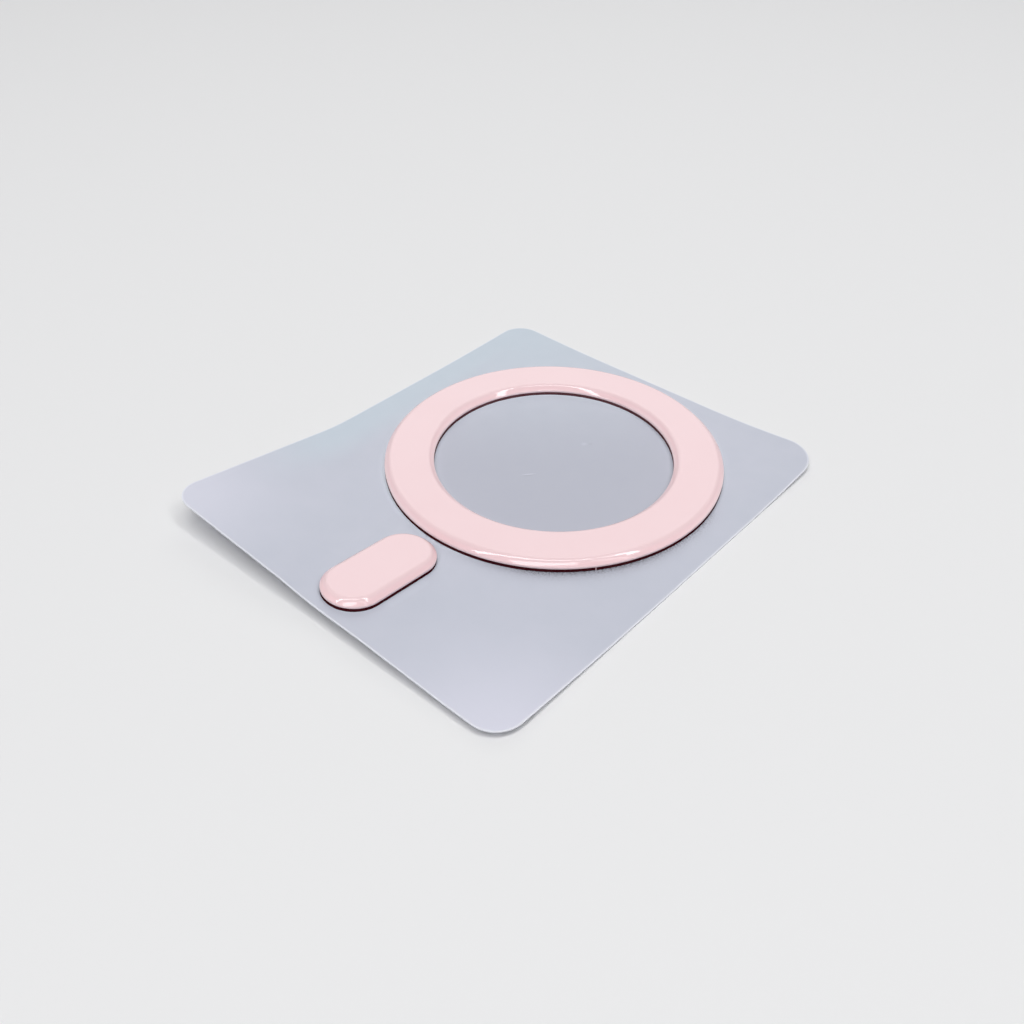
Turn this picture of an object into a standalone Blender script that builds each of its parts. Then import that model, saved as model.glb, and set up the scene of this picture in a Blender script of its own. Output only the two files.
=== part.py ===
"""Magnetic phone mount plates on their release liner.

A bevelled steel ring and a bevelled steel bar, both enamelled pink, each with a dark
adhesive pad on its back. They sit in one line on a die-cut frosted liner whose corners
have curled up off the table, and the bar tilts with the liner under it.

Metres, +Z up. The origin is on the table under the middle of the liner. The bar is at
the front (-Y), the ring behind it, and both face up.
"""

import math

import bpy
import bmesh
from mathutils import Euler, Matrix, Vector
from mathutils.geometry import delaunay_2d_cdt

MM = 0.001

# Ring plate
RING_OUTER_DIAMETER = 56.0 * MM
RING_BAND = 8.15 * MM

# Bar plate, a rounded bar in line with the ring's centre
BAR_LENGTH = 19.3 * MM
BAR_WIDTH = 9.7 * MM
BAR_TO_RING = 1.55 * MM

# Section that both plates share
PLATE_THICKNESS = 1.1 * MM
LIP_HEIGHT = 0.3 * MM
BEVEL_RUN = 0.9 * MM
BEVEL_CROWN = 0.03 * MM
LIP_FILLET = 0.25 * MM
CROWN_FILLET = 4.5 * MM
SHOULDER_FILLET = 1.0 * MM

# Adhesive pads, cut to the plates' outlines
PAD_THICKNESS = 0.51 * MM
SEAT_GAP = 0.02 * MM

# Liner: what it leaves bare around the plates
MARGIN_FRONT = 1.65 * MM
MARGIN_BACK = 2.5 * MM
MARGIN_LEFT = 6.4 * MM
MARGIN_RIGHT = 5.2 * MM
LINER_THICKNESS = 0.25 * MM
LINER_CORNER_RADIUS = 4.5 * MM
LINER_BACK_RIGHT_RADIUS = 6.5 * MM

# Liner: the bend that lifts its front left corner, and the other three corners' curl
BEND_HEADING = math.radians(27.7)
BEND_FROM_RING = 0.6 * MM
BEND_LENGTH = 6.0 * MM
BEND_ANGLE = math.radians(8.65)
CURL_FRONT_RIGHT = 1.0 * MM
CURL_BACK_RIGHT = 1.3 * MM
CURL_BACK_LEFT = 0.55 * MM

# Liner under the bar: how the stiff bar holds it
BAR_PITCH = math.radians(4.7)
BAR_ROLL = math.radians(2.3)
FLAT_MARGIN = 0.3 * MM
BLEND_LENGTH = 6.0 * MM

# Facets
RING_SEGMENTS = 96
END_SEGMENTS = 24
FILLET_SEGMENTS = 4
CORNER_SEGMENTS = 8
LINER_GRID = 2.0 * MM
MERGE_DISTANCE = 0.001 * MM
SMOOTH_ANGLE = math.radians(30)

# Worked out from the sizes above
RING_RADIUS = RING_OUTER_DIAMETER / 2
RING_HOLE_RADIUS = RING_RADIUS - RING_BAND
LINER_LENGTH = MARGIN_FRONT + BAR_LENGTH + BAR_TO_RING + RING_OUTER_DIAMETER + MARGIN_BACK
LINER_WIDTH = MARGIN_LEFT + RING_OUTER_DIAMETER + MARGIN_RIGHT
PLATE_LINE_X = (MARGIN_LEFT - MARGIN_RIGHT) / 2
BAR_CENTRE = Vector((PLATE_LINE_X, -LINER_LENGTH / 2 + MARGIN_FRONT + BAR_LENGTH / 2))
RING_CENTRE = Vector((PLATE_LINE_X, LINER_LENGTH / 2 - MARGIN_BACK - RING_RADIUS))
PAD_HEIGHT = SEAT_GAP
PLATE_HEIGHT = PAD_HEIGHT + PAD_THICKNESS + SEAT_GAP

PINK_ENAMEL = (0.88, 0.64, 0.66, 1.0)
DARK_ADHESIVE = (0.045, 0.012, 0.014, 1.0)
FROSTED_FILM = (0.52, 0.56, 0.62, 1.0)
ENAMEL_ROUGHNESS = 0.18
ADHESIVE_ROUGHNESS = 0.45
FILM_ROUGHNESS = 0.4


def clear_scene():
    for obj in list(bpy.data.objects):
        bpy.data.objects.remove(obj, do_unlink=True)


def make_material(name, colour, roughness, metallic=0.0):
    material = bpy.data.materials.new(name)
    material.use_nodes = True
    shader = material.node_tree.nodes["Principled BSDF"]
    shader.inputs["Base Color"].default_value = colour
    shader.inputs["Roughness"].default_value = roughness
    shader.inputs["Metallic"].default_value = metallic
    material.diffuse_color = colour
    return material


def add_object(name, bm, material):
    """Turn a finished bmesh into an object with smooth sides and crisp edges."""
    bmesh.ops.recalc_face_normals(bm, faces=bm.faces)
    mesh = bpy.data.meshes.new(name)
    bm.to_mesh(mesh)
    bm.free()
    mesh.materials.append(material)
    mesh.shade_smooth()
    mesh.set_sharp_from_angle(angle=SMOOTH_ANGLE)
    obj = bpy.data.objects.new(name, mesh)
    bpy.context.scene.collection.objects.link(obj)
    return obj


def fillet(before, corner, after, radius):
    """Points of an arc of the given radius that rounds a corner of a section."""
    to_before = (before - corner).normalized()
    to_after = (after - corner).normalized()
    half = to_before.angle(to_after) / 2
    reach = radius / math.tan(half)
    centre = corner + (to_before + to_after).normalized() * (radius / math.sin(half))
    start = corner + to_before * reach - centre
    end = corner + to_after * reach - centre
    turn = start.angle_signed(end)
    points = []
    for step in range(FILLET_SEGMENTS + 1):
        arm = start.copy()
        arm.rotate(Matrix.Rotation(-turn * step / FILLET_SEGMENTS, 2))
        points.append(centre + arm)
    return points


def rim_section():
    """Half section of a plate's rim: (inset from the rim, height over the plate's back).

    The bevel bulges slightly: it has a blunt corner halfway up, which a wide fillet rounds.
    """
    foot = Vector((0.0, 0.0))
    lip = Vector((0.0, LIP_HEIGHT))
    shoulder = Vector((BEVEL_RUN, PLATE_THICKNESS))
    flat = Vector((2 * BEVEL_RUN, PLATE_THICKNESS))
    slope = (shoulder - lip).normalized()
    crown = (lip + shoulder) / 2 + BEVEL_CROWN * Vector((-slope.y, slope.x))
    section = [foot]
    section += fillet(foot, lip, crown, LIP_FILLET)
    section += fillet(lip, crown, shoulder, CROWN_FILLET)
    section += fillet(crown, shoulder, flat, SHOULDER_FILLET)
    return section


def revolve(profile):
    """Turn a closed profile of (radius, height) about Z into a ring."""
    bm = bmesh.new()
    verts = [bm.verts.new((radius, 0.0, height)) for radius, height in profile]
    edges = [bm.edges.new((a, b)) for a, b in zip(verts, verts[1:] + verts[:1])]
    bmesh.ops.spin(
        bm,
        geom=verts + edges,
        axis=(0.0, 0.0, 1.0),
        cent=(0.0, 0.0, 0.0),
        angle=2 * math.pi,
        steps=RING_SEGMENTS,
    )
    bmesh.ops.remove_doubles(bm, verts=bm.verts, dist=MERGE_DISTANCE)
    return bm


def bar_outline(inset):
    """Outline of the bar, drawn in from its rim: two half circles joined by straights."""
    radius = BAR_WIDTH / 2 - inset
    reach = (BAR_LENGTH - BAR_WIDTH) / 2
    points = []
    for end, start in ((reach, 0.0), (-reach, math.pi)):
        for step in range(END_SEGMENTS + 1):
            angle = start + math.pi * step / END_SEGMENTS
            points.append(Vector((radius * math.cos(angle), end + radius * math.sin(angle))))
    return points


def loft(levels):
    """Closed solid through a stack of (outline, height) levels of equal point count."""
    bm = bmesh.new()
    loops = []
    for outline, height in levels:
        loops.append([bm.verts.new((x, y, height)) for x, y in outline])
    for low, high in zip(loops, loops[1:]):
        for i in range(len(low)):
            j = (i + 1) % len(low)
            bm.faces.new((low[i], low[j], high[j], high[i]))
    bm.faces.new(loops[0])
    bm.faces.new(loops[-1])
    return bm


def make_ring_plate(material):
    outside = [(RING_RADIUS - inset, height) for inset, height in rim_section()]
    inside = [(RING_HOLE_RADIUS + inset, height) for inset, height in rim_section()]
    ring = add_object("ring_plate", revolve(outside + inside[::-1]), material)
    ring.location = (*RING_CENTRE, LINER_THICKNESS + PLATE_HEIGHT)


def make_ring_adhesive(material):
    outer, inner = RING_RADIUS, RING_HOLE_RADIUS
    profile = [(outer, 0.0), (outer, PAD_THICKNESS), (inner, PAD_THICKNESS), (inner, 0.0)]
    pad = add_object("ring_adhesive", revolve(profile), material)
    pad.location = (*RING_CENTRE, LINER_THICKNESS + PAD_HEIGHT)


def make_bar_seat():
    """Tilted seat on the liner's top, which carries the bar and its pad."""
    seat = bpy.data.objects.new("bar_seat", None)
    seat.empty_display_size = BAR_WIDTH / 2
    seat.location = (*BAR_CENTRE, bar_lift() + LINER_THICKNESS)
    seat.rotation_euler = bar_tilt()
    bpy.context.scene.collection.objects.link(seat)
    return seat


def make_bar_plate(material, seat):
    levels = [(bar_outline(inset), height) for inset, height in rim_section()]
    bar = add_object("bar_plate", loft(levels), material)
    bar.parent = seat
    bar.location = (0.0, 0.0, PLATE_HEIGHT)


def make_bar_adhesive(material, seat):
    outline = bar_outline(0.0)
    pad = add_object("bar_adhesive", loft([(outline, 0.0), (outline, PAD_THICKNESS)]), material)
    pad.parent = seat
    pad.location = (0.0, 0.0, PAD_HEIGHT)


def bar_tilt():
    return Euler((-BAR_PITCH, BAR_ROLL, 0.0))


def bar_slope():
    """Rise of the bar's seat along X and along Y."""
    normal = bar_tilt().to_matrix() @ Vector((0.0, 0.0, 1.0))
    return -normal.xy / normal.z


def bar_lift():
    """Height of the liner under the bar's middle, where the patch's low end meets the table."""
    slope = bar_slope()
    reach = (BAR_LENGTH - BAR_WIDTH) / 2
    return reach * abs(slope.y) + (BAR_WIDTH / 2 + FLAT_MARGIN) * slope.length


def smooth_step(value):
    clamped = min(max(value, 0.0), 1.0)
    return clamped * clamped * (3 - 2 * clamped)


def bend_height(point):
    """Height of the bend: flat up to its line, then an arc, then a straight slope."""
    heading = Vector((-math.sin(BEND_HEADING), -math.cos(BEND_HEADING)))
    past = (point - RING_CENTRE).dot(heading) - RING_RADIUS - BEND_FROM_RING
    slope = math.tan(BEND_ANGLE)
    if past <= 0:
        return 0.0
    if past < BEND_LENGTH:
        return slope * past * past / (2 * BEND_LENGTH)
    return slope * (past - BEND_LENGTH / 2)


def corner_curl(point):
    """Height of the corners that curl outward from the ring."""
    curls = (
        (LINER_WIDTH / 2, -LINER_LENGTH / 2, CURL_FRONT_RIGHT),
        (LINER_WIDTH / 2, LINER_LENGTH / 2, CURL_BACK_RIGHT),
        (-LINER_WIDTH / 2, LINER_LENGTH / 2, CURL_BACK_LEFT),
    )
    start = RING_RADIUS + FLAT_MARGIN
    height = 0.0
    for x, y, rise in curls:
        corner = Vector((x, y)) - RING_CENTRE
        past = (point - RING_CENTRE).dot(corner.normalized()) - start
        height += rise * (max(past, 0.0) / (corner.length - start)) ** 2
    return height


def bar_plane_height(point):
    """Height of the flat patch that the bar holds."""
    return bar_lift() + bar_slope().dot(point - BAR_CENTRE)


def clear_of_bar(point):
    """Distance from the bar's rim, negative inside it."""
    offset = point - BAR_CENTRE
    reach = (BAR_LENGTH - BAR_WIDTH) / 2
    along = min(max(offset.y, -reach), reach)
    return (offset - Vector((0.0, along))).length - BAR_WIDTH / 2


def clear_of_ring(point):
    """Distance from the ring's outer rim, negative inside it."""
    return (point - RING_CENTRE).length - RING_RADIUS


def liner_height(point):
    """Height of the liner's underside over the table."""
    from_bar = clear_of_bar(point) - FLAT_MARGIN
    from_ring = clear_of_ring(point) - FLAT_MARGIN
    held = 1 - smooth_step(from_bar / BLEND_LENGTH)
    free = bend_height(point) + corner_curl(point)
    height = held * bar_plane_height(point) + (1 - held) * free
    return max(height, 0.0) * smooth_step(from_ring / (BAR_TO_RING - 2 * FLAT_MARGIN))


def corner_radius(x, y):
    """Radius of the liner's corner in the given quarter: the back right one is rounder."""
    return LINER_BACK_RIGHT_RADIUS if x > 0 and y > 0 else LINER_CORNER_RADIUS


def liner_outline():
    """Rounded rectangle, anticlockwise from its front right corner."""
    points = []
    for x, y, start in ((1, -1, -90), (1, 1, 0), (-1, 1, 90), (-1, -1, 180)):
        radius = corner_radius(x, y)
        centre = Vector((x * (LINER_WIDTH / 2 - radius), y * (LINER_LENGTH / 2 - radius)))
        for step in range(CORNER_SEGMENTS + 1):
            angle = math.radians(start + 90 * step / CORNER_SEGMENTS)
            points.append(centre + radius * Vector((math.cos(angle), math.sin(angle))))
    return points


def split_sides(outline, spacing):
    """Add points along the long sides of a closed outline."""
    points = []
    for here, there in zip(outline, outline[1:] + outline[:1]):
        parts = max(1, round((there - here).length / spacing))
        points += [here.lerp(there, part / parts) for part in range(parts)]
    return points


def inside_liner(point, margin):
    """True where a point is at least margin inside the liner's outline."""
    radius = corner_radius(point.x, point.y)
    across = abs(point.x) - LINER_WIDTH / 2 + radius
    along = abs(point.y) - LINER_LENGTH / 2 + radius
    outside = Vector((max(across, 0.0), max(along, 0.0))).length
    distance = outside + min(max(across, along), 0.0) - radius
    return distance < -margin


def liner_points():
    """Points of the free liner on a grid, kept off its edges and off the held patches."""
    off = LINER_GRID / 2
    columns = math.ceil(LINER_WIDTH / LINER_GRID / 2)
    rows = math.ceil(LINER_LENGTH / LINER_GRID / 2)
    points = []
    for row in range(-rows, rows + 1):
        for column in range(-columns, columns + 1):
            point = Vector((column * LINER_GRID, row * LINER_GRID))
            held = min(clear_of_bar(point), clear_of_ring(point)) < FLAT_MARGIN + off
            if inside_liner(point, off) and not held:
                points.append(point)
    return points


def make_release_liner(material):
    """Cut the sheet with the held patches as flat faces, bend it and give it thickness."""
    outline = split_sides(liner_outline(), LINER_GRID)
    radius = RING_RADIUS + FLAT_MARGIN
    turns = [2 * math.pi * step / RING_SEGMENTS for step in range(RING_SEGMENTS)]
    ring_patch = [RING_CENTRE + radius * Vector((math.cos(a), math.sin(a))) for a in turns]
    bar_patch = [BAR_CENTRE + point for point in split_sides(bar_outline(-FLAT_MARGIN), LINER_GRID)]
    points = []
    edges = []
    for loop in (outline, ring_patch, bar_patch):
        first = len(points)
        count = len(loop)
        points += loop
        edges += [(first + i, first + (i + 1) % count) for i in range(count)]
    points += liner_points()
    sheet = [list(range(len(outline)))]
    flat, _, triangles, _, _, _ = delaunay_2d_cdt(points, edges, sheet, 1, MERGE_DISTANCE)

    bm = bmesh.new()
    verts = [bm.verts.new((point.x, point.y, liner_height(point))) for point in flat]
    faces = [bm.faces.new([verts[i] for i in triangle]) for triangle in triangles]
    raised = bmesh.ops.extrude_face_region(bm, geom=faces, use_keep_orig=True)
    top = [item for item in raised["geom"] if isinstance(item, bmesh.types.BMVert)]
    bmesh.ops.translate(bm, verts=top, vec=(0.0, 0.0, LINER_THICKNESS))
    add_object("release_liner", bm, material)


def main():
    clear_scene()
    enamel = make_material("pink_enamel", PINK_ENAMEL, ENAMEL_ROUGHNESS)
    adhesive = make_material("dark_adhesive", DARK_ADHESIVE, ADHESIVE_ROUGHNESS)
    film = make_material("frosted_film", FROSTED_FILM, FILM_ROUGHNESS)
    seat = make_bar_seat()
    make_release_liner(film)
    make_ring_adhesive(adhesive)
    make_ring_plate(enamel)
    make_bar_adhesive(adhesive.copy(), seat)
    make_bar_plate(enamel.copy(), seat)


main()
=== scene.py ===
"""Looks of the magnetic phone mount plates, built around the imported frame."""
import math

import bmesh
import bpy
import numpy as np
from mathutils import Euler, Matrix, Vector
from mathutils.geometry import delaunay_2d_cdt


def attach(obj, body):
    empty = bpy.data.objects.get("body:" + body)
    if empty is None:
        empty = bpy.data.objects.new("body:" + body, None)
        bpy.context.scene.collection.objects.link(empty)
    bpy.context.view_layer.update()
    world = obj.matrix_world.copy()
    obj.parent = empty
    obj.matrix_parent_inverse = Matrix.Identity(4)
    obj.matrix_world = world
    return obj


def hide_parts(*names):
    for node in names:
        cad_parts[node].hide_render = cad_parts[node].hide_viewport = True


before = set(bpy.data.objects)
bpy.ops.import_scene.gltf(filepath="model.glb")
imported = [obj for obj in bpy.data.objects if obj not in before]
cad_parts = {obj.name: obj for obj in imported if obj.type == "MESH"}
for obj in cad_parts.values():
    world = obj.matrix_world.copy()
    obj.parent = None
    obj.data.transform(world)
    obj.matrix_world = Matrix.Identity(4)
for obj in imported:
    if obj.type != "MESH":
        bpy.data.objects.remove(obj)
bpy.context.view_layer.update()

MM = 0.001

# Sizes of the solids, in metres
RING_OUTER_RADIUS = 28.0 * MM
RING_HOLE_RADIUS = 19.85 * MM
BAR_LENGTH = 19.3 * MM
BAR_WIDTH = 9.7 * MM
BAR_REACH = (BAR_LENGTH - BAR_WIDTH) / 2
BAR_TO_RING = 1.55 * MM
PLATE_THICKNESS = 1.1 * MM
LIP_HEIGHT = 0.3 * MM
BEVEL_RUN = 0.9 * MM
LIP_FILLET = 0.25 * MM
BEVEL_CROWN = 0.03 * MM
CROWN_FILLET = 4.5 * MM
SHOULDER_FILLET = 1.0 * MM
UNDER_FILLET = 0.02 * MM
PLATE_HEIGHT = 0.55 * MM
LINER_THICKNESS = 0.25 * MM
LINER_WIDTH = 67.6 * MM
LINER_LENGTH = 81.0 * MM
CORNER_RADIUS = 4.5 * MM
BACK_RIGHT_RADIUS = 6.5 * MM
RING_CENTRE = np.array([0.6, 10.0]) * MM
BAR_CENTRE = np.array([0.6, -29.2]) * MM

# The liner's bend, and its curled corners: side, end and rise
BEND_HEADING = math.radians(27.7)
BEND_FROM_RING = 0.6 * MM
BEND_LENGTH = 6.0 * MM
BEND_SLOPE = math.tan(math.radians(8.65))
CURLS = ((1, -1, 1.0 * MM), (1, 1, 1.3 * MM), (-1, 1, 0.55 * MM))
BAR_TILT = Euler((-math.radians(4.7), math.radians(2.3), 0.0))
FLAT_MARGIN = 0.3 * MM
BLEND_LENGTH = 6.0 * MM

# The photo's camera
CAMERA_PLACE = Vector((86.855, -98.68, 101.102)) * MM
CAMERA_TURN = math.radians(41.271)
CAMERA_ELEVATION = math.radians(39.018)
CAMERA_ROLL = math.radians(0.412)
FOCAL_PIXELS = 1026
PHOTO_PIXELS = 1024
SENSOR_WIDTH = 36.0
CLIP_RANGE = (0.005, 20.0)
TOWARD_CAMERA = np.array([math.sin(CAMERA_TURN), -math.cos(CAMERA_TURN)])

# Marks on the film inside the ring with the painted shadows beside them, and a thread of lint on the ring's
# pad
SCRATCH_PLACE = (0.26 * MM, 4.01 * MM)
SCRATCH_SHADE_PLACE = (SCRATCH_PLACE[0] + 0.22 * MM, SCRATCH_PLACE[1] - 0.25 * MM)
SCRATCH_LENGTH = 2.9 * MM
SCRATCH_WIDTH = 0.34 * MM
SCRATCH_ANGLE = math.radians(50.8)
DOT_PLACE = (1.69 * MM, 16.81 * MM)
DOT_SHADE_PLACE = (2.51 * MM, 17.55 * MM)
LINT_BEARING = math.radians(-37.5)
LINT_WIDTH = 0.26 * MM

# Tones of the film in front of the ring: middle bearing, half width and fade, in degrees
SHADED_FRONT = (-43, 10, 34)
UNLIT_FRONT = (-20, 30, 40)
RAGGED_FRONT = (-25, 30, 12)
SHADE_LENGTH = 0.8 * MM
FRINGE_LENGTH = 0.6 * MM
RIM_OVERLAP = 0.5 * MM

# The film's painted tones, laid over each other in this order: painted shade inside the ring, painted sheen
# where the sheet lifts and on its front corners, and painted light along the plates' rims
FILM_TONES = (
    ("ring_hole_shade", (0.440, 0.451, 0.524)),
    ("free", (0.508, 0.572, 0.644)),
    ("corner_sheen", (0.648, 0.652, 0.748)),
    ("leak", (0.740, 0.790, 0.880)),
)

# Fineness of the meshes
RING_SEGMENTS = 360
RING_TURNS = np.linspace(0, 2 * math.pi, RING_SEGMENTS, endpoint=False)
END_SEGMENTS = 72
FILLET_STEPS = 10
UNDER_STEPS = 4
CORNER_STEPS = 24
PLATE_CREASE = 40
LINER_CREASE = 60
LINER_GRID = 0.85 * MM
LINER_EDGE_STEP = 0.7 * LINER_GRID
LINER_EDGE_ROUND = 0.07 * MM
LINER_EDGE_ROUND_STEPS = 3

# Lines of the liner's mesh along the plates' rims, which take the grid's place there
RIM_LINES = (0.0, 0.14 * MM, FLAT_MARGIN, 0.62 * MM, 0.95 * MM, 1.27 * MM)
RING_LINE_STEPS = 180
BAR_LINE_STEPS = 24
RIM_STRIP_MIDDLE = 0.65 * MM
RIM_STRIP_HALF = 1.0 * MM

# Stage, in metres, with directions seen from the object as right, away and up in the photo
PALE_FLOOR = (0.80, 0.80, 0.805, 1.0)
FLOOR_REACH = 0.7
FLOOR_DROP = 0.02 * MM
SKY_COLOUR = (0.98, 0.985, 1.0, 1.0)
SKY_AT_HORIZON = 0.06
SKY_OVERHEAD = 0.27
LAMP_DISTANCE = 1.3
LAMPS = (  # name, directions of its two ends, width at a distance of 1, radiance
    ("arch_left", (-0.61, -0.42, 0.67), (-0.34, -0.34, 0.88), 0.09, 9.5),
    ("arch_top_left", (-0.36, -0.33, 0.88), (-0.14, -0.13, 0.98), 0.11, 10.5),
    ("arch_top", (-0.18, -0.08, 0.98), (0.22, 0.00, 0.98), 0.20, 7.8),
    ("arch_right", (0.26, 0.12, 0.95), (0.61, -0.37, 0.70), 0.11, 9.2),
    ("front_bar", (-0.34, -0.60, 0.73), (0.20, -0.57, 0.80), 0.16, 6.0),
    ("low_arc", (0.30, -0.46, 0.83), (0.60, -0.47, 0.65), 0.08, 2.5),
    ("far_panel", (-0.45, 0.75, 0.48), (0.45, 0.75, 0.48), 0.38, 1.05),
)


# Camera

def add_camera():
    """The camera as fitted to the photo."""
    level = math.cos(CAMERA_ELEVATION)
    back = Vector((math.sin(CAMERA_TURN) * level, -math.cos(CAMERA_TURN) * level, math.sin(CAMERA_ELEVATION)))
    right = Vector((math.cos(CAMERA_TURN), math.sin(CAMERA_TURN), 0.0))
    up = back.cross(right)
    cos, sin = math.cos(CAMERA_ROLL), math.sin(CAMERA_ROLL)
    columns = (right * cos + up * sin, up * cos - right * sin, back)
    data = bpy.data.cameras.new("camera")
    data.sensor_width = SENSOR_WIDTH
    data.lens = SENSOR_WIDTH * FOCAL_PIXELS / PHOTO_PIXELS
    data.clip_start, data.clip_end = CLIP_RANGE
    camera = bpy.data.objects.new("camera", data)
    camera.matrix_world = Matrix.Translation(CAMERA_PLACE) @ Matrix(columns).transposed().to_4x4()
    bpy.context.scene.collection.objects.link(camera)
    bpy.context.scene.camera = camera


# Mesh helpers

def new_piece(name, mesh, material, slot, *nodes):
    """Link a finished mesh as a piece that stands for the named nodes."""
    mesh.materials.append(material)
    piece = bpy.data.objects.new(name, mesh)
    bpy.context.scene.collection.objects.link(piece)
    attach(piece, "root")
    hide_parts(*nodes)


def mesh_from(name, points, faces, crease=PLATE_CREASE):
    """Smooth mesh whose edges are sharp where its faces turn by more than the crease, in degrees."""
    bm = bmesh.new()
    verts = [bm.verts.new(point) for point in points]
    for face in faces:
        bm.faces.new([verts[i] for i in face])
    bmesh.ops.recalc_face_normals(bm, faces=bm.faces)
    mesh = bpy.data.meshes.new(name)
    bm.to_mesh(mesh)
    bm.free()
    mesh.shade_smooth()
    mesh.set_sharp_from_angle(angle=math.radians(crease))
    return mesh


def paint(mesh, name, values):
    """Keep one number per point on the mesh for its material to read."""
    layer = mesh.attributes.new(name, "FLOAT", "POINT")
    layer.data.foreach_set("value", np.asarray(values, dtype=np.float32))


def rise(value, start, run):
    """Soft step: 0 up to start, and 1 from start + run on."""
    share = np.clip((value - start) / run, 0.0, 1.0)
    return share * share * (3 - 2 * share)


def fillet(before, corner, after, radius, steps=FILLET_STEPS):
    """Points of the arc that rounds a corner between its two neighbours."""
    to_before = (before - corner).normalized()
    to_after = (after - corner).normalized()
    half = to_before.angle(to_after) / 2
    reach = radius / math.tan(half)
    centre = corner + (to_before + to_after).normalized() * (radius / math.sin(half))
    start = corner + to_before * reach - centre
    turn = start.angle_signed(corner + to_after * reach - centre)
    points = []
    for step in range(steps + 1):
        arm = start.copy()
        arm.rotate(Matrix.Rotation(-turn * step / steps, 2))
        points.append(centre + arm)
    return points


# The plates' rim and its painted light

def rim_section():
    """Half section of a plate's rim as (inset, height), with a short run that keeps its face flat."""
    hold = 0.03 * MM
    foot = Vector((0.0, 0.0))
    lip = Vector((0.0, LIP_HEIGHT))
    shoulder = Vector((BEVEL_RUN, PLATE_THICKNESS))
    flat = Vector((2 * BEVEL_RUN, PLATE_THICKNESS))
    slope = (shoulder - lip).normalized()
    crown = (lip + shoulder) / 2 + Vector((-slope.y, slope.x)) * BEVEL_CROWN
    section = fillet(Vector((BEVEL_RUN, 0.0)), foot, lip, UNDER_FILLET, UNDER_STEPS)
    section += fillet(foot, lip, crown, LIP_FILLET)
    section += fillet(lip, crown, shoulder, CROWN_FILLET)
    section += fillet(crown, shoulder, flat, SHOULDER_FILLET)
    return section + [section[-1] + Vector((hold, 0.0))]


def lip_light_share(heights):
    """How much a point of the plate belongs to its lip, painted palest as painted light."""
    lip_top, fade = 0.22 * MM, 0.2 * MM
    return 1 - rise(heights, lip_top, fade)


def slope_light_share(heights):
    """How much a point of the plate belongs to its bevel, painted lighter and redder as painted light."""
    fade = 0.45 * MM
    return rise(PLATE_THICKNESS - heights, 0.0, fade)


def climb_light_share(heights):
    """How much of the lip's painted light climbs the bevel at the ring's left and right in the camera's view.
    """
    most, reach = 0.75, 0.65 * MM
    side_start, side_run = 0.55, 0.25
    sideways = rise(np.abs(np.cos(RING_TURNS - CAMERA_TURN)), side_start, side_run)
    return np.outer(sideways, most * (1 - rise(heights, LIP_HEIGHT, reach)))


# Ring

def revolve(name, profile, centre, base):
    """Closed profile of (radius, height) turned about the upright axis at centre."""
    count = len(profile)
    points = []
    for turn in RING_TURNS:
        x, y = math.cos(turn), math.sin(turn)
        for radius, height in profile:
            points.append((centre[0] + radius * x, centre[1] + radius * y, base + height))
    faces = []
    for i in range(RING_SEGMENTS):
        here, there = i * count, (i + 1) % RING_SEGMENTS * count
        for k in range(count):
            after = (k + 1) % count
            faces.append((here + k, there + k, there + after, here + after))
    return mesh_from(name, points, faces)


def make_ring(enamel, adhesive):
    section = rim_section()
    profile = [(RING_OUTER_RADIUS - p.x, p.y) for p in section]
    profile += [(RING_HOLE_RADIUS + p.x, p.y) for p in reversed(section)]
    plate = revolve("ring_plate_enamel", profile, RING_CENTRE, LINER_THICKNESS + PLATE_HEIGHT)
    heights = np.array([height for _, height in profile])
    # Painted light on the lip, and up the bevel at the ring's sides
    paint(plate, "lip", np.maximum(lip_light_share(heights), climb_light_share(heights)).ravel())
    # Painted light on the bevel, lighter and redder
    paint(plate, "slope", np.tile(slope_light_share(heights), RING_SEGMENTS))
    new_piece("ring_plate_enamel", plate, enamel, "pink_enamel", "ring_plate")
    pad = [
        (RING_OUTER_RADIUS, 0.0), (RING_OUTER_RADIUS, PLATE_HEIGHT),
        (RING_HOLE_RADIUS, PLATE_HEIGHT), (RING_HOLE_RADIUS, 0.0),
    ]
    mesh = revolve("ring_pad", pad, RING_CENTRE, LINER_THICKNESS)
    paint(mesh, "inner", np.tile([0.0, 0.0, 1.0, 1.0], RING_SEGMENTS))
    new_piece("ring_pad", mesh, adhesive, "dark_adhesive", "ring_adhesive")


# Liner's shape

def bar_slope():
    normal = BAR_TILT.to_matrix() @ Vector((0.0, 0.0, 1.0))
    return np.array([-normal.x / normal.z, -normal.y / normal.z])


def bar_lift():
    """Height of the tilted patch at the bar's centre, so that none of it dips into the table."""
    slope = bar_slope()
    return BAR_REACH * abs(slope[1]) + (BAR_WIDTH / 2 + FLAT_MARGIN) * np.hypot(*slope)


def clear_of_bar(p):
    """Distance off the bar's rim, below 0 under the bar."""
    offset = p - BAR_CENTRE
    along = np.clip(offset[:, 1], -BAR_REACH, BAR_REACH)
    return np.hypot(offset[:, 0], offset[:, 1] - along) - BAR_WIDTH / 2


def clear_of_ring(p):
    """Distance off the ring's outer rim, below 0 under the ring and in its hole."""
    return np.hypot(*(p - RING_CENTRE).T) - RING_OUTER_RADIUS


def beside_ring(p):
    """Distance out of the ring's band, into its hole or off its outer rim."""
    return np.maximum(clear_of_ring(p), RING_HOLE_RADIUS - RING_OUTER_RADIUS - clear_of_ring(p))


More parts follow.
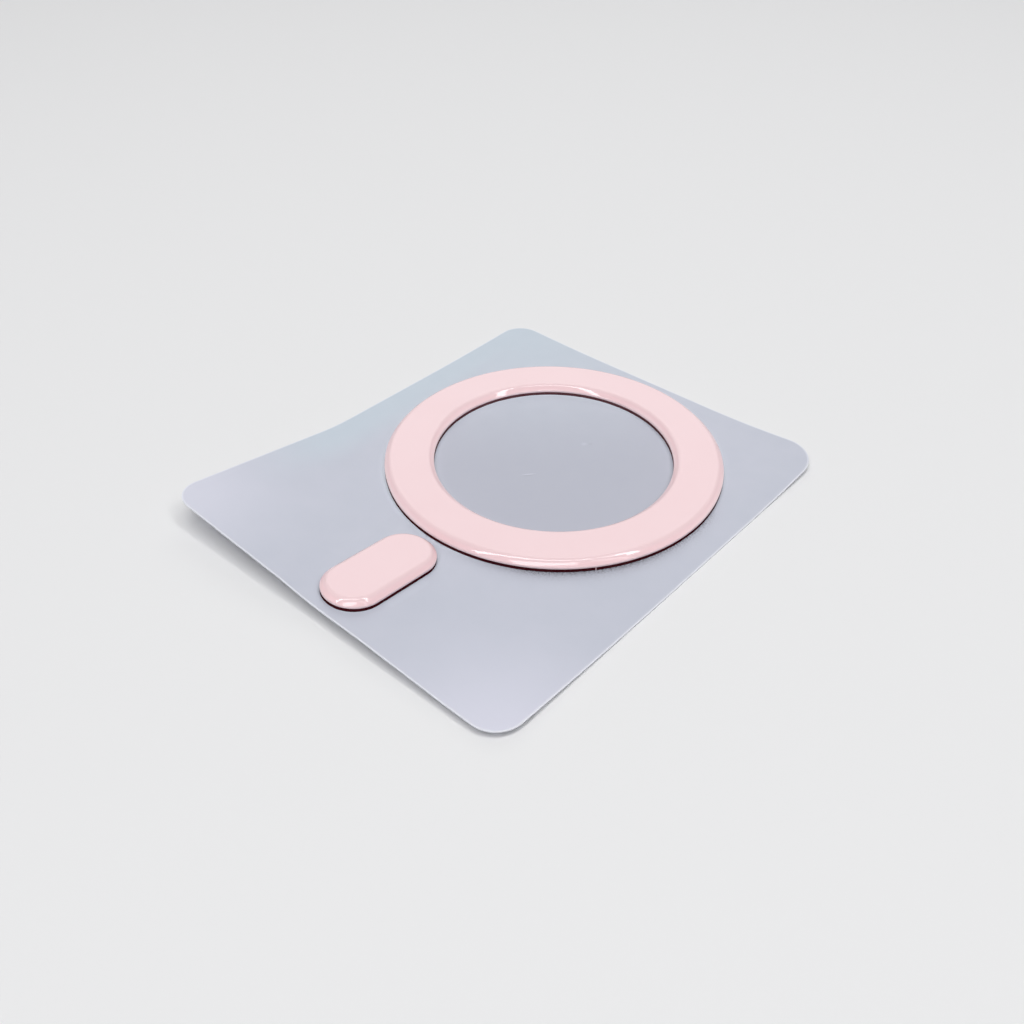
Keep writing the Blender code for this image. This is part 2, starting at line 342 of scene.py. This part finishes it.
def liner_height(p):
    """Height of the liner's underside over the table at an array of points."""
    heading = np.array([-math.sin(BEND_HEADING), -math.cos(BEND_HEADING)])
    past = np.maximum((p - RING_CENTRE) @ heading - RING_OUTER_RADIUS - BEND_FROM_RING, 0.0)
    arc = past * past / (2 * BEND_LENGTH)
    free = BEND_SLOPE * np.where(past < BEND_LENGTH, arc, past - BEND_LENGTH / 2)
    start = RING_OUTER_RADIUS + FLAT_MARGIN
    for x, y, most in CURLS:
        corner = np.array([x * LINER_WIDTH / 2, y * LINER_LENGTH / 2]) - RING_CENTRE
        reach = np.hypot(*corner)
        out = np.maximum((p - RING_CENTRE) @ (corner / reach) - start, 0.0)
        free = free + most * (out / (reach - start)) ** 2
    held = 1 - rise(clear_of_bar(p), FLAT_MARGIN, BLEND_LENGTH)
    plane = bar_lift() + (p - BAR_CENTRE) @ bar_slope()
    height = np.maximum(held * plane + (1 - held) * free, 0.0)
    return height * rise(clear_of_ring(p), FLAT_MARGIN, BAR_TO_RING - 2 * FLAT_MARGIN)


def corner_radius(x, y):
    return np.where((x > 0) & (y > 0), BACK_RIGHT_RADIUS, CORNER_RADIUS)


def past_edge(p):
    """Distance past the liner's edge, below 0 on the liner."""
    radius = corner_radius(p[:, 0], p[:, 1])
    across = np.abs(p[:, 0]) - LINER_WIDTH / 2 + radius
    along = np.abs(p[:, 1]) - LINER_LENGTH / 2 + radius
    outside = np.hypot(np.maximum(across, 0), np.maximum(along, 0))
    return outside + np.minimum(np.maximum(across, along), 0) - radius


def inside_liner(p, margin):
    return past_edge(p) < -margin


def liner_outline(inset):
    """Rounded rectangle drawn in from the liner's edge, in evenly spaced points."""
    points = []
    for x, y, start in ((1, -1, -90), (1, 1, 0), (-1, 1, 90), (-1, -1, 180)):
        radius = corner_radius(x, y)
        centre = np.array([x * (LINER_WIDTH / 2 - radius), y * (LINER_LENGTH / 2 - radius)])
        for step in range(CORNER_STEPS + 1):
            angle = math.radians(start + 90 * step / CORNER_STEPS)
            points.append(centre + (radius - inset) * np.array([math.cos(angle), math.sin(angle)]))
    full = []
    for here, there in zip(points, points[1:] + points[:1]):
        parts = max(1, round(np.hypot(*(there - here)) / LINER_EDGE_STEP))
        if parts > 3:  # a straight run, cut into a multiple of four parts
            parts = round(parts / 4) * 4
        full += [here + (there - here) * part / parts for part in range(parts)]
    return np.array(full)


def bar_outline(inset, steps=END_SEGMENTS):
    radius = BAR_WIDTH / 2 - inset
    points = []
    for end, start in ((BAR_REACH, 0.0), (-BAR_REACH, math.pi)):
        for step in range(steps + 1):
            angle = start + math.pi * step / steps
            points.append((radius * math.cos(angle), end + radius * math.sin(angle)))
    return points


# Liner

def liner_rim():
    """Rounded cut edge as (inset, height), from the top face to the underside."""
    rim = [(LINER_EDGE_ROUND, LINER_THICKNESS)]
    for step in range(1, LINER_EDGE_ROUND_STEPS + 1):
        angle = math.pi / 2 * step / LINER_EDGE_ROUND_STEPS
        inset = LINER_EDGE_ROUND * (1 - math.sin(angle))
        rim.append((inset, LINER_THICKNESS - LINER_EDGE_ROUND * (1 - math.cos(angle))))
    return rim + [(inset, LINER_THICKNESS - height) for inset, height in reversed(rim)]


def in_rim_strip(distance):
    return np.abs(distance - RIM_STRIP_MIDDLE) < RIM_STRIP_HALF


def liner_plan(border):
    """Points and faces of the flat sheet: its border, lines along the plates' rims, and rows of points."""
    border_line, line_margin, grid_margin = 0.35 * MM, 0.5 * MM, 0.7 * MM
    flat = [border, liner_outline(border_line)]
    turns = np.linspace(0, 2 * math.pi, RING_LINE_STEPS, endpoint=False)
    arms = np.c_[np.cos(turns), np.sin(turns)]
    for off in RIM_LINES:
        circle = RING_CENTRE + (RING_OUTER_RADIUS + off) * arms
        flat += [circle[inside_liner(circle, line_margin)], RING_CENTRE + (RING_HOLE_RADIUS - off) * arms]
        flat.append(BAR_CENTRE + np.array(bar_outline(-off, BAR_LINE_STEPS)))
    columns = np.arange(-LINER_WIDTH / 2, LINER_WIDTH / 2, LINER_GRID)
    rows = np.arange(-LINER_LENGTH / 2, LINER_LENGTH / 2, LINER_GRID)
    grid = np.array([(x, y) for y in rows for x in columns]) + LINER_GRID / 3
    by_rims = in_rim_strip(beside_ring(grid)) | in_rim_strip(clear_of_bar(grid))
    flat.append(grid[inside_liner(grid, grid_margin) & ~by_rims])
    points = [Vector(p) for p in np.concatenate(flat)]
    count = len(border)
    edges = [(i, (i + 1) % count) for i in range(count)]
    inside_only, merge_distance = 1, 1e-8
    out, _, faces, _, _, _ = delaunay_2d_cdt(points, edges, [list(range(count))], inside_only, merge_distance)
    return np.array([(p.x, p.y) for p in out]), faces


def make_liner(film):
    """Sheet with a fine top, flat under the plates, and a cut edge that is softly rounded."""
    rim = liner_rim()
    loops = [liner_outline(inset) for inset, _ in rim]
    border = loops[0]
    count = len(border)
    plan, faces = liner_plan(border)
    lift = liner_height(plan)

    total = len(plan)
    verts = [(x, y, z + LINER_THICKNESS) for (x, y), z in zip(plan, lift)]
    verts += [(x, y, z) for (x, y), z in zip(plan, lift)]
    tris = [tuple(face) for face in faces]
    tris += [tuple(total + i for i in reversed(face)) for face in faces]
    nearest = [int(np.argmin(np.hypot(*(plan - p).T))) for p in border]
    rings = [nearest]
    for (_, height), loop in list(zip(rim, loops))[1:-1]:
        first = len(verts)
        verts += [(x, y, z + height) for (x, y), z in zip(loop, liner_height(loop))]
        rings.append(list(range(first, first + count)))
    rings.append([total + i for i in nearest])
    for high, low in zip(rings, rings[1:]):
        for i in range(count):
            j = (i + 1) % count
            tris.append((high[i], low[i], low[j], high[j]))
    mesh = mesh_from("liner_film", verts, tris, LINER_CREASE)
    p = np.array([v.co for v in mesh.vertices])[:, :2]
    paint_sheet(mesh, p)
    paint_by_plates(mesh, p)
    new_piece("liner_film", mesh, film, "frosted_film", "release_liner")


def paint_sheet(mesh, p):
    """Painted light and shade on the sheet: a painted highlight along its cut edge, painted sheen on its
    front corners, painted shade inside the ring, and painted sheen where it lifts free.
    """
    # Painted highlight along the cut edge
    edge_depth = 0.3 * MM
    paint(mesh, "edge", np.clip(1 + past_edge(p) / edge_depth, 0, 1))

    # Painted sheen on the front corners, where the sheet lifts
    corner_reach = 15 * MM
    front_corners = ((-1, -1, 0.8), (1, -1, 1.0))
    corner_sheen = np.zeros(len(p))
    for x, y, most in front_corners:
        away = np.hypot(p[:, 0] - x * LINER_WIDTH / 2, p[:, 1] - y * LINER_LENGTH / 2)
        corner_sheen = np.maximum(corner_sheen, most * np.exp(-(away / corner_reach) ** 2))
    paint(mesh, "corner_sheen", corner_sheen)

    # Painted shade inside the ring, and less of it on its far side
    offset = p - RING_CENTRE
    least, more_when_near = 0.6, 0.4
    ring_hole_shade = least + more_when_near * rise(offset @ TOWARD_CAMERA, -20 * MM, 22 * MM)
    paint(mesh, "ring_hole_shade", (clear_of_ring(p) < 0) * ring_hole_shade)

    # Painted sheen where the sheet is free of the table, along the left and round the back left corner
    back_left_reach = 26 * MM
    back_left = np.hypot(p[:, 0] + LINER_WIDTH / 2, p[:, 1] - LINER_LENGTH / 2)
    left = rise(-offset[:, 0], 24 * MM, 8 * MM) * rise(p[:, 1], -30 * MM, 20 * MM)
    paint(mesh, "free", np.maximum(left, np.exp(-(back_left / back_left_reach) ** 2)))


def at_bearing(bearing, middle, half, fade):
    """1 near a bearing round the ring and 0 far from it, in degrees."""
    return 1 - rise(np.abs(bearing - middle), half, fade)


def paint_by_plates(mesh, p):
    """Tones beside the plates: light that leaks in along their rims, and shade in front of the ring."""
    offset = p - RING_CENTRE
    bearing = np.degrees(np.arctan2(offset[:, 1], offset[:, 0]))
    within_ring = clear_of_ring(p) < 0
    out_of_hole = clear_of_ring(p) > -RIM_OVERLAP
    by_ring, by_bar = np.maximum(beside_ring(p), 0), np.maximum(clear_of_bar(p), 0)
    front = at_bearing(bearing, *SHADED_FRONT) * out_of_hole
    paint(mesh, "shade", front * np.exp(-by_ring / SHADE_LENGTH))
    ragged = at_bearing(bearing, *RAGGED_FRONT) * out_of_hole
    paint(mesh, "fringe", ragged * np.exp(-by_ring / FRINGE_LENGTH))

    # Light leaks in most off the ring's outer rim, less in its hole, where it grows on the far
    # side, and faintly on the right of the bar
    lit = (1 - at_bearing(bearing, *UNLIT_FRONT)) * (1 - front)
    outside_strength, outside_length = 1.6, 0.28 * MM
    outside_ring = np.minimum(outside_strength * np.exp(-by_ring / outside_length), 1)
    far = rise(-(offset @ TOWARD_CAMERA), 8 * MM, 8 * MM)
    hole_strength = 0.45 + 0.35 * far
    hole_length = (0.45 + 0.4 * far) * MM
    inside_ring = hole_strength * np.exp(-by_ring / hole_length)
    leak = lit * np.where(within_ring, inside_ring, outside_ring)
    bar_strength, bar_length = 0.35, 0.3 * MM
    right_of_bar = bar_strength * rise(p[:, 0], BAR_CENTRE[0], 3 * MM)
    paint(mesh, "leak", np.maximum(leak, right_of_bar * np.exp(-by_bar / bar_length)))


# Bar

def loft(name, levels, place):
    """Closed solid through level outlines of equal count, carried to its place."""
    points, loops = [], []
    for outline, height in levels:
        loops.append(range(len(points), len(points) + len(outline)))
        points += [place @ Vector((x, y, height)) for x, y in outline]
    faces = [tuple(loops[0]), tuple(loops[-1])]
    for low, high in zip(loops, loops[1:]):
        for i in range(len(low)):
            j = (i + 1) % len(low)
            faces.append((low[i], low[j], high[j], high[i]))
    return mesh_from(name, points, faces)


def make_bar(enamel, adhesive):
    lift = Vector((*BAR_CENTRE, bar_lift() + LINER_THICKNESS))
    seat = Matrix.Translation(lift) @ BAR_TILT.to_matrix().to_4x4()
    section = rim_section()
    outlines = [bar_outline(p.x) for p in section]
    levels = [(outline, PLATE_HEIGHT + p.y) for outline, p in zip(outlines, section)]
    plate = loft("bar_plate_enamel", levels, seat)
    heights = np.array([p.y for p in section])
    # Painted light on the lip
    paint(plate, "lip", np.repeat(lip_light_share(heights), len(outlines[0])))
    # Painted light on the bevel, lighter and redder
    paint(plate, "slope", np.repeat(slope_light_share(heights), len(outlines[0])))
    new_piece("bar_plate_enamel", plate, enamel, "pink_enamel", "bar_plate")
    pad = [(bar_outline(0.0), 0.0), (bar_outline(0.0), PLATE_HEIGHT)]
    new_piece("bar_pad", loft("bar_pad", pad, seat), adhesive, "dark_adhesive", "bar_adhesive")


# Materials

class Look:
    """A material under construction: short names for the nodes it needs."""

    def __init__(self, name):
        self.material = bpy.data.materials.new(name)
        self.material.use_nodes = True
        self.tree = self.material.node_tree
        self.shader = self.tree.nodes["Principled BSDF"]
        self.where = self.tree.nodes.new("ShaderNodeTexCoord").outputs["Object"]

    def node(self, kind, **values):
        made = self.tree.nodes.new(kind)
        for key, value in values.items():
            setattr(made, key, value)
        return made

    def link(self, start, end):
        self.tree.links.new(start, end)

    def noise(self, scale, detail=2.0, roughness=0.5):
        made = self.node("ShaderNodeTexNoise")
        made.inputs["Scale"].default_value = scale
        made.inputs["Detail"].default_value = detail
        made.inputs["Roughness"].default_value = roughness
        self.link(self.where, made.inputs["Vector"])
        return made.outputs["Fac"]

    def spread(self, value, low, high, start=0.0, end=1.0):
        """Carry a value from the range start to end over to the range low to high."""
        made = self.node("ShaderNodeMapRange")
        self.link(value, made.inputs["Value"])
        for key, number in (("From Min", start), ("From Max", end), ("To Min", low), ("To Max", high)):
            made.inputs[key].default_value = number
        return made.outputs["Result"]

    def mix(self, factor, first, second):
        """Colour between two colours, each given as a tuple or as another node's output."""
        made = self.node("ShaderNodeMix", data_type="RGBA")
        self.link(factor, made.inputs["Factor"])
        for socket, colour in (("A", first), ("B", second)):
            target = [s for s in made.inputs if s.name == socket and s.type == "RGBA"][0]
            if isinstance(colour, tuple):
                target.default_value = (*colour, 1.0)
            else:
                self.link(colour, target)
        return [s for s in made.outputs if s.type == "RGBA"][0]

    def bump(self, height, distance, before=None):
        made = self.node("ShaderNodeBump")
        made.inputs["Distance"].default_value = distance
        self.link(height, made.inputs["Height"])
        if before is not None:
            self.link(before, made.inputs["Normal"])
        return made.outputs["Normal"]

    def attribute(self, name):
        return self.node("ShaderNodeAttribute", attribute_name=name).outputs["Fac"]

    def spot(self, x, y, length, width, angle=0.0):
        """Small oval on the sheet, 1 in its middle and 0 from its rim on."""
        place = self.node("ShaderNodeMapping", vector_type="TEXTURE")
        place.inputs["Location"].default_value = (x, y, 0.0)
        place.inputs["Rotation"].default_value = (0.0, 0.0, angle)
        place.inputs["Scale"].default_value = (length / 2, width / 2, 1.0)
        self.link(self.where, place.inputs["Vector"])
        ball = self.node("ShaderNodeTexGradient", gradient_type="SPHERICAL")
        self.link(place.outputs["Vector"], ball.inputs["Vector"])
        return ball.outputs["Fac"]

    def times(self, first, second):
        made = self.node("ShaderNodeMath", operation="MULTIPLY")
        self.link(first, made.inputs[0])
        self.link(second, made.inputs[1])
        return made.outputs["Value"]

    def set(self, key, value):
        self.shader.inputs[key].default_value = value

    def feed(self, key, value):
        self.link(value, self.shader.inputs[key])


def enamel_look():
    """Glossy enamel with a faint orange peel, with painted light: lighter and redder on the bevels and palest
    on the lips.
    """
    look = Look("glossy_pink_enamel")
    tone = look.spread(look.noise(120, 3), 0, 1, start=0.3, end=0.7)
    body = look.mix(tone, (0.856, 0.630, 0.652), (0.864, 0.642, 0.664))
    # Painted light: the bevels lighter and redder
    body = look.mix(look.attribute("slope"), body, (0.945, 0.664, 0.688))
    # Painted light: the lips palest
    look.feed("Base Color", look.mix(look.attribute("lip"), body, (1.0, 0.77, 0.79)))
    look.feed("Roughness", look.spread(look.noise(700, 3), 0.045, 0.08, start=0.35, end=0.65))
    peel = look.bump(look.noise(1500, 2), 0.0008 * MM)
    look.feed("Normal", look.bump(look.noise(260, 1), 0.002 * MM, peel))
    look.set("IOR", 1.5)
    return look.material


def adhesive_look():
    """Near-black foam without a gloss, paler on the hole's wall, with one thread of lint."""
    look = Look("dark_adhesive_foam")
    tone = look.spread(look.noise(900, 4), 0, 1, start=0.3, end=0.7)
    body = look.mix(tone, (0.050, 0.006, 0.010), (0.075, 0.012, 0.016))
    body = look.mix(look.attribute("inner"), body, (0.125, 0.050, 0.057))
    lint_arm = np.array([math.cos(LINT_BEARING), math.sin(LINT_BEARING)])
    x, y = RING_CENTRE + RING_OUTER_RADIUS * lint_arm
    lint = look.spread(look.spot(x, y, LINT_WIDTH, LINT_WIDTH), 0.0, 1.0, start=0.0, end=0.5)
    look.feed("Base Color", look.mix(lint, body, (0.62, 0.42, 0.43)))
    look.feed("Roughness", look.spread(look.noise(2200, 3), 0.42, 0.62, start=0.3, end=0.7))
    look.feed("Normal", look.bump(look.noise(5200, 3), 0.02 * MM))
    look.set("Specular IOR Level", 0.0)
    return look.material


def mark_film(look, body):
    """The few marks inside the ring: a short pale scratch with a painted shadow beside it, and a pale dot
    with a painted shade beside it.
    """
    strokes = (
        # The darker strokes are painted shadows of the scratch and the dot
        (SCRATCH_SHADE_PLACE, SCRATCH_LENGTH, SCRATCH_WIDTH, (0.405, 0.415, 0.485)),
        (SCRATCH_PLACE, SCRATCH_LENGTH, SCRATCH_WIDTH, (0.560, 0.570, 0.650)),
        (DOT_PLACE, 1.4 * MM, 1.1 * MM, (0.500, 0.515, 0.595)),
        (DOT_SHADE_PLACE, 0.9 * MM, 0.7 * MM, (0.415, 0.430, 0.500)),
    )
    for (x, y), length, width, colour in strokes:
        mark = look.spot(x, y, length, width, SCRATCH_ANGLE)
        body = look.mix(look.spread(mark, 0.0, 1.0, start=0.0, end=0.7), body, colour)
    return body


def film_look():
    """Frosted film with a satin face, its painted light and shade, its marks and a painted highlight on its
    cut edge.
    """
    look = Look("frosted_liner_film")
    mottle = look.spread(look.noise(130, 3, 0.6), 0, 1, start=0.3, end=0.7)
    body = look.mix(mottle, (0.500, 0.522, 0.600), (0.520, 0.537, 0.617))
    # Painted shade and sheen on the sheet, and painted light along the plates' rims
    for name, tone in FILM_TONES:
        body = look.mix(look.attribute(name), body, tone)
    # Painted shade in front of the ring, broken up by noise
    flecks = look.spread(look.noise(2600, 3, 0.7), 0.55, 1.25, start=0.35, end=0.65)
    body = look.mix(look.times(look.attribute("shade"), flecks), body, (0.300, 0.310, 0.360))
    specks = look.spread(look.noise(4200, 2, 0.6), 0.0, 1.0, start=0.46, end=0.60)
    body = look.mix(look.times(look.attribute("fringe"), specks), body, (0.070, 0.060, 0.070))
    body = mark_film(look, body)
    # Painted highlight along the cut edge
    look.feed("Base Color", look.mix(look.attribute("edge"), body, (0.80, 0.81, 0.87)))
    look.feed("Roughness", look.spread(look.noise(420, 4), 0.34, 0.46, start=0.3, end=0.7))
    grain = look.bump(look.noise(7000, 2), 0.004 * MM)
    look.feed("Normal", look.bump(look.noise(330, 2), 0.006 * MM, grain))
    look.set("IOR", 1.49)
    return look.material


# Stage

def add_floor():
    mesh = bpy.data.meshes.new("floor")
    signs = ((-1, -1), (1, -1), (1, 1), (-1, 1))
    corners = [(x * FLOOR_REACH, y * FLOOR_REACH, -FLOOR_DROP) for x, y in signs]
    mesh.from_pydata(corners, [], [(0, 1, 2, 3)])
    look = Look("pale_floor")
    look.set("Base Color", PALE_FLOOR)
    look.set("Roughness", 0.75)
    mesh.materials.append(look.material)
    floor = bpy.data.objects.new("floor", mesh)
    bpy.context.scene.collection.objects.link(floor)


def from_camera_side(x, y, z):
    """Direction given as right, away and up in the camera's view, in the row frame."""
    cos, sin = math.cos(CAMERA_TURN), math.sin(CAMERA_TURN)
    return Vector((x * cos - y * sin, x * sin + y * cos, z))


def add_strip(name, start, end, width, radiance):
    """Soft strip lamp whose ends are seen from the object in two given directions."""
    first = from_camera_side(*start).normalized() * LAMP_DISTANCE
    last = from_camera_side(*end).normalized() * LAMP_DISTANCE
    middle = (first + last) / 2
    length = (last - first).length
    z = middle.normalized()
    x = (last - first).normalized()
    y = z.cross(x).normalized()
    data = bpy.data.lights.new(name, "AREA")
    data.shape = "RECTANGLE"
    data.size = length
    data.size_y = width * LAMP_DISTANCE
    data.energy = radiance * math.pi * length * data.size_y
    lamp = bpy.data.objects.new(name, data)
    lamp.matrix_world = Matrix.Translation(middle) @ Matrix((x, y, z)).transposed().to_4x4()
    bpy.context.scene.collection.objects.link(lamp)


def add_world():
    """Soft light from all of the sky, most from overhead, before a plain pale backdrop."""
    world = bpy.data.worlds.new("studio")
    bpy.context.scene.world = world
    world.use_nodes = True
    tree = world.node_tree
    split = tree.nodes.new("ShaderNodeSeparateXYZ")
    where = tree.nodes.new("ShaderNodeTexCoord")
    tree.links.new(where.outputs["Generated"], split.inputs["Vector"])
    fade = tree.nodes.new("ShaderNodeMapRange")
    tree.links.new(split.outputs["Z"], fade.inputs["Value"])
    fade.inputs["To Min"].default_value = SKY_AT_HORIZON
    fade.inputs["To Max"].default_value = SKY_OVERHEAD
    lit = tree.nodes["Background"]
    lit.inputs["Color"].default_value = SKY_COLOUR
    tree.links.new(fade.outputs["Result"], lit.inputs["Strength"])

    # The backdrop is what the camera sees, straight, in a gloss or through a clear piece
    seen = tree.nodes.new("ShaderNodeBackground")
    seen.inputs["Color"].default_value = PALE_FLOOR
    path = tree.nodes.new("ShaderNodeLightPath")
    in_view = path.outputs["Is Camera Ray"]
    for ray in ("Is Glossy Ray", "Is Transmission Ray"):
        either = tree.nodes.new("ShaderNodeMath")
        either.operation = "MAXIMUM"
        tree.links.new(in_view, either.inputs[0])
        tree.links.new(path.outputs[ray], either.inputs[1])
        in_view = either.outputs["Value"]
    blend = tree.nodes.new("ShaderNodeMixShader")
    tree.links.new(in_view, blend.inputs["Fac"])
    tree.links.new(lit.outputs["Background"], blend.inputs[1])
    tree.links.new(seen.outputs["Background"], blend.inputs[2])
    tree.links.new(blend.outputs["Shader"], tree.nodes["World Output"].inputs["Surface"])


add_camera()
enamel = enamel_look()
adhesive = adhesive_look()
make_liner(film_look())
make_ring(enamel, adhesive)
make_bar(enamel, adhesive)
add_floor()
for lamp in LAMPS:
    add_strip(*lamp)
add_world()
bpy.context.scene.view_settings.view_transform = "Standard"
